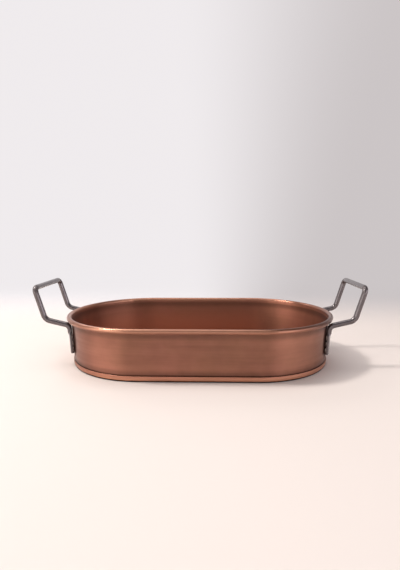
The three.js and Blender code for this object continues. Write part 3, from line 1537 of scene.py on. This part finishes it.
    def _draw_leg(self, piece: Workpiece, up: Vector, length: float) -> None:
        """Draws the rod up along the leg, with close rings where the pressed part ends.

        Args:
            piece: The piece that holds the rod's circle.
            up: The way along the leg.
            length: How far it is drawn.
        """
        blend_start, blend_end = self._press_levels(length)
        piece.extrude(up * blend_start, self.leg_steps)
        piece.extrude(up * (blend_end - blend_start), self.press_steps)
        piece.extrude(up * (length - blend_end), self.leg_top_steps)

    def _press_leg(self, piece: Workpiece) -> None:
        """Presses the front leg flat, in the leg's own frame, and blends it into the round rod.

        Args:
            piece: The rod.
        """
        frame_of_leg = self.leg_frame()
        piece.place(frame_of_leg.inverted())
        half = self.leg_thickness / 2
        widening = self.leg_width / (2 * self.rod_radius)
        blend_start, blend_end = self._press_levels(self.leg_length)
        # A third of the way from one ring to the next, so that only one ring is near a level.
        near = self.press_run / self.press_steps / 3
        with Editing(piece):
            piece.select(lambda point: point.x < -half)
            piece.resize((0, 1, 1), (-half, 0, 0))
            piece.select(lambda point: point.x > half and point.z < blend_start + near)
            piece.resize((0, 1, 1), (half, 0, 0))
            piece.select(lambda point: point.z < blend_start + near)
            piece.resize((1, widening, 1), (0, 0, 0))
            for step in range(1, self.press_steps):
                share = step / self.press_steps
                eased = share * share * (3 - 2 * share)
                level = blend_start + share * (blend_end - blend_start)
                limit = half + eased * (self.rod_radius - half)
                piece.select(lambda point: abs(point.z - level) < near and point.x > limit)
                piece.resize((0, 1, 1), (limit, 0, 0))
                piece.select(lambda point: abs(point.z - level) < near)
                piece.resize((1, widening + eased * (1 - widening), 1), (0, 0, 0))
        piece.place(frame_of_leg)

    def build_weld(self) -> Workpiece:
        """Models one weld bead: a long ball, with every other ring drawn in to make its ripples.

        Returns:
            The bead.
        """
        half_width, half_length = self.weld_width / 2, self.weld_length / 2
        half_sizes = (half_width, half_width, half_length)
        piece = Workpiece.ball("weld_pattern", self.weld_segments, self.weld_rings, half_sizes)
        with Editing(piece):
            for ring in range(self.weld_plain_rings, self.weld_rings - self.weld_plain_rings + 1, 2):
                level = half_length * math.cos(math.pi * ring / self.weld_rings)
                piece.select_level(level)
                piece.resize((self.weld_ripple, self.weld_ripple, 1), (0, 0, level))
        piece.smooth(self.weld_crease)
        return piece

    def dress(self, groups: EffectGroups) -> None:
        """Builds both handles and their welds and gives them their finish.

        Args:
            groups: The shared effects.
        """
        iron = IronFinish()
        iron_material = iron.build(groups)
        rod = self.build_rod()
        twin = rod.copy("left_rod_handle")
        twin.place(Matrix.Rotation(math.pi, 4, "Z"))
        rod.hand_over(iron_material, iron.slot, "right_handle")
        twin.hand_over(iron_material, iron.slot, "left_handle")
        self._dress_welds(TACK_WELD.build(groups))

    def _dress_welds(self, material: bpy.types.Material) -> None:
        """Lays a bead on every weld of the frame, each a little different in size.

        Args:
            material: The welds' finish.
        """
        pattern = self.build_weld()
        shake = random.Random(self.weld_seed)
        ranges = (self.weld_thickness_range, self.weld_thickness_range, self.weld_length_range)
        tilt = math.atan(self.body.wall_slope)
        for node in sorted(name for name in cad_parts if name.endswith("_weld")):
            low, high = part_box(node)
            centre = (low + high) / 2
            bearing = math.atan2(centre.y, abs(centre.x) - self.body.path.straight_half)
            bearing = bearing if centre.x > 0 else math.pi - bearing
            stretch = [shake.uniform(*limits) for limits in ranges]
            bead = pattern.copy(f"{node}_bead")
            bead.place(
                Matrix.Translation(centre)
                @ Matrix.Rotation(bearing, 4, "Z")
                @ Matrix.Rotation(tilt, 4, "Y")
                @ Matrix.Diagonal((*stretch, 1.0))
            )
            bead.hand_over(material, Slot.WELD, node)
        bpy.data.objects.remove(pattern.obj)


@dataclass(frozen=True)
class SoftLamp:
    """A softbox.

    Attributes:
        name: Its name.
        place: Where it stands.
        target: The height on the tray's middle line that it points at.
        size: Its width and height.
        watts: Its power.
        colour: Its colour.
    """

    name: str
    place: Triple
    target: float
    size: Pair
    watts: float
    colour: Colour = (1.0, 1.0, 1.0)

    def light(self) -> None:
        """Puts the lamp in the scene."""
        data = bpy.data.lights.new(self.name, "AREA")
        data.shape = "RECTANGLE"
        data.size, data.size_y = self.size
        data.energy = self.watts
        data.color = self.colour
        lamp = bpy.data.objects.new(self.name, data)
        bpy.context.scene.collection.objects.link(lamp)
        aim = Vector((0.0, 0.0, self.target)) - Vector(self.place)
        turn = aim.to_track_quat("-Z", "Y").to_matrix().to_4x4()
        lamp.matrix_world = Matrix.Translation(self.place) @ turn


SUNNY: Colour = (1.0, 0.98, 0.95)
LAMPS = (
    SoftLamp("key_from_the_left", (-1.14, -0.16, 1.64), 0.03, (0.30, 0.22), 20.5, SUNNY),
    SoftLamp("upper_left", (-0.70, -0.05, 1.60), 0.03, (0.55, 0.45), 4.0, SUNNY),
    SoftLamp("back_left", (-1.05, 0.85, 1.25), 0.05, (0.60, 0.50), 3.0, SUNNY),
    SoftLamp("overhead", (0.0, 0.10, 1.60), 0.0, (0.90, 0.70), 6.0),
    SoftLamp("top_in_front", (-0.10, -0.60, 1.45), 0.0, (0.90, 0.70), 0.8),
    SoftLamp("left_box", (-1.25, -0.92, 0.26), 0.05, (1.40, 0.42), 6.2, (1.0, 0.955, 0.925)),
    SoftLamp("right_box", (1.15, -1.10, 0.30), 0.05, (0.80, 0.50), 5.1, (0.96, 0.93, 1.0)),
    SoftLamp("right_side", (1.55, -0.35, 0.30), 0.05, (0.90, 0.50), 3.5, (0.92, 0.89, 1.0)),
    SoftLamp("low_in_front", (0.0, -1.70, 0.45), 0.05, (1.40, 0.60), 1.8),
)


@dataclass
class Studio:
    """A plain pale sweep, soft lamps, and the camera at the photograph's angle.

    The sweep's paint turns to the background's own light away from the tray, and the world shows the same
    background below its darker ceiling, so that the sweep's edges show only against the ceiling.

    Attributes:
        camera_place: Where the camera stands.
        camera_turn: Its yaw to the right, its pitch downwards and its roll against the clock, in degrees.
        focal_pixels: Its focal length in pixels of the photograph.
        image_height: The photograph's longer side in pixels.
        horizon_turns: The part of a direction's X over which the background takes its right-hand colour, a
            painted shade.
        paint_ends_behind: The stretch along Y over which the paint turns to background.
        paint_ends_round: The same, as a distance from the tray.
        ceiling_from: The part of a direction's Z over which the background changes to the ceiling.
    """

    camera_place: Triple = (0.0223, -0.6250, 0.2010)
    camera_turn: Triple = (-1.94, 8.06, -0.24)
    camera_clips: Pair = (0.01, 50.0)
    focal_pixels: float = 413.0
    image_height: float = 570.0
    sensor: float = 36.0
    floor_half: float = 2.6
    backdrop_distance: float = 1.3
    backdrop_height: float = 2.2
    cove_radius: float = 0.7
    cove_steps: int = 24
    floor_colour: Colour = (0.825, 0.728, 0.672)
    floor_roughness: Pair = (0.62, 0.74)
    floor_cloud_scale: float = 3.0
    floor_cloud_range: Pair = (0.3, 0.7)
    floor_gloss: float = 0.25
    backdrop_colour: Colour = (0.87, 0.835, 0.850)
    # The background's painted shade at the right.
    backdrop_shaded_right: Colour = (0.60, 0.560, 0.565)
    horizon_turns: Pair = (-0.10, 0.45)
    paint_ends_behind: Pair = (0.15, 0.75)
    paint_ends_round: Pair = (0.90, 1.60)
    ceiling_colour: Colour = (0.06, 0.06, 0.065)
    ceiling_from: Pair = (0.20, 0.50)
    world_colour: Colour = (0.92, 0.94, 1.0)
    world_strength: float = 0.28
    lamps: tuple[SoftLamp, ...] = LAMPS

    def set_camera(self) -> None:
        """Puts the camera where the photograph was taken from."""
        yaw, pitch, roll = (math.radians(angle) for angle in self.camera_turn)
        ahead = Vector((math.sin(yaw) * math.cos(pitch), math.cos(yaw) * math.cos(pitch), -math.sin(pitch)))
        right = Vector((math.cos(yaw), -math.sin(yaw), 0.0))
        up = right.cross(ahead)
        rolled_right = right * math.cos(roll) + up * math.sin(roll)
        rolled_up = up * math.cos(roll) - right * math.sin(roll)
        data = bpy.data.cameras.new("camera")
        data.sensor_width = self.sensor
        data.lens = self.focal_pixels / self.image_height * self.sensor
        data.clip_start, data.clip_end = self.camera_clips
        camera = bpy.data.objects.new("camera", data)
        bpy.context.scene.collection.objects.link(camera)
        turn = Matrix((rolled_right, rolled_up, -ahead)).transposed().to_4x4()
        camera.matrix_world = Matrix.Translation(self.camera_place) @ turn
        bpy.context.scene.camera = camera

    def build_sweep(self) -> None:
        """Models the floor and backdrop as one sheet with a wide cove between them."""
        back = self.backdrop_distance
        at_back = back - ON_LEVEL
        deselect_all()
        bpy.ops.mesh.primitive_plane_add(size=2 * self.floor_half, location=(0, back - self.floor_half, 0))
        sweep = Workpiece("pale_sweep")
        with Editing(sweep):
            sweep.select(lambda point: point.y > at_back)
            sweep.extrude((0, 0, self.backdrop_height))
            sweep.select(lambda point: point.y > at_back and point.z < ON_LEVEL)
            bpy.ops.mesh.bevel(offset=self.cove_radius, segments=self.cove_steps, affect="EDGES")
        sweep.smooth()
        sweep.obj.data.materials.append(self._paint())

    def _paint(self) -> bpy.types.Material:
        """Makes the sweep's paint.

        Returns:
            The material.
        """
        material, board, place = new_material("pale_paint")
        axes = board.axes(place)
        level = board.add("CombineXYZ", {"X": axes["X"], "Y": axes["Y"]}).outputs[0]
        round_about = board.ramp(board.vector("LENGTH", level), *self.paint_ends_round)
        away = board.maths("MAXIMUM", board.ramp(axes["Y"], *self.paint_ends_behind), round_about)
        background = self._horizon(board, board.vector("NORMALIZE", place))
        clouds = board.noise(place, self.floor_cloud_scale)
        paint = {
            "Base Color": board.blend(away, self.floor_colour, background),
            "Roughness": board.ramp(clouds, *self.floor_cloud_range, *self.floor_roughness),
            "Specular IOR Level": self.floor_gloss,
        }
        painted = board.add("BsdfPrincipled", paint).outputs[0]
        glow = board.add("Emission", {"Color": background}).outputs[0]
        shown = board.add("MixShader", {0: board.times(self._seen(board), away), 1: painted, 2: glow})
        board.add("OutputMaterial", {"Surface": shown.outputs[0]})
        return material

    def _horizon(self, board: NodeBoard, way: Socket) -> Socket:
        """The pale background in a direction from the tray, a little darker to the right as painted shade."""
        rightness = board.ramp(board.axes(way)["X"], *self.horizon_turns)
        return board.blend(rightness, self.backdrop_colour, self.backdrop_shaded_right)

    @staticmethod
    def _seen(board: NodeBoard) -> Socket:
        """Tells the rays that show the background: those of the camera, of reflections and through glass.

        Args:
            board: The board of the material or the world.

        Returns:
            One for such a ray, and else zero.
        """
        rays = board.add("LightPath").outputs
        seen = board.maths("ADD", rays["Is Camera Ray"], rays["Is Glossy Ray"])
        return board.maths("ADD", seen, rays["Is Transmission Ray"], clamp=True)

    def light(self) -> None:
        """Lights the scene with the world, which shows a pale horizon, and the soft lamps."""
        world = bpy.data.worlds.new("soft_room")
        bpy.context.scene.world = world
        world.use_nodes = True
        board = NodeBoard(world.node_tree)
        way = board.add("TexCoord").outputs["Generated"]
        ceiling = board.ramp(board.axes(way)["Z"], *self.ceiling_from)
        background = board.blend(ceiling, self._horizon(board, way), self.ceiling_colour)
        room = {"Color": self.world_colour, "Strength": self.world_strength}
        light = board.add("Background", room).outputs[0]
        glow = board.add("Background", {"Color": background}).outputs[0]
        shown = board.add("MixShader", {0: self._seen(board), 1: light, 2: glow})
        board.add("OutputWorld", {"Surface": shown.outputs[0]})
        for lamp in self.lamps:
            lamp.light()

    def set_up(self) -> None:
        """Builds the whole studio."""
        bpy.context.scene.view_settings.view_transform = "Standard"
        self.set_camera()
        self.build_sweep()
        self.light()


def main() -> None:
    """Builds the tray's pieces in order, then the studio."""
    logging.basicConfig(level=logging.INFO, format="%(name)s: %(message)s")
    groups = EffectGroups()
    body = CopperBody()
    body.dress(groups)
    RodHandles(body).dress(groups)
    Studio().set_up()
    bpy.context.view_layer.update()


if __name__ == "__main__":
    main()
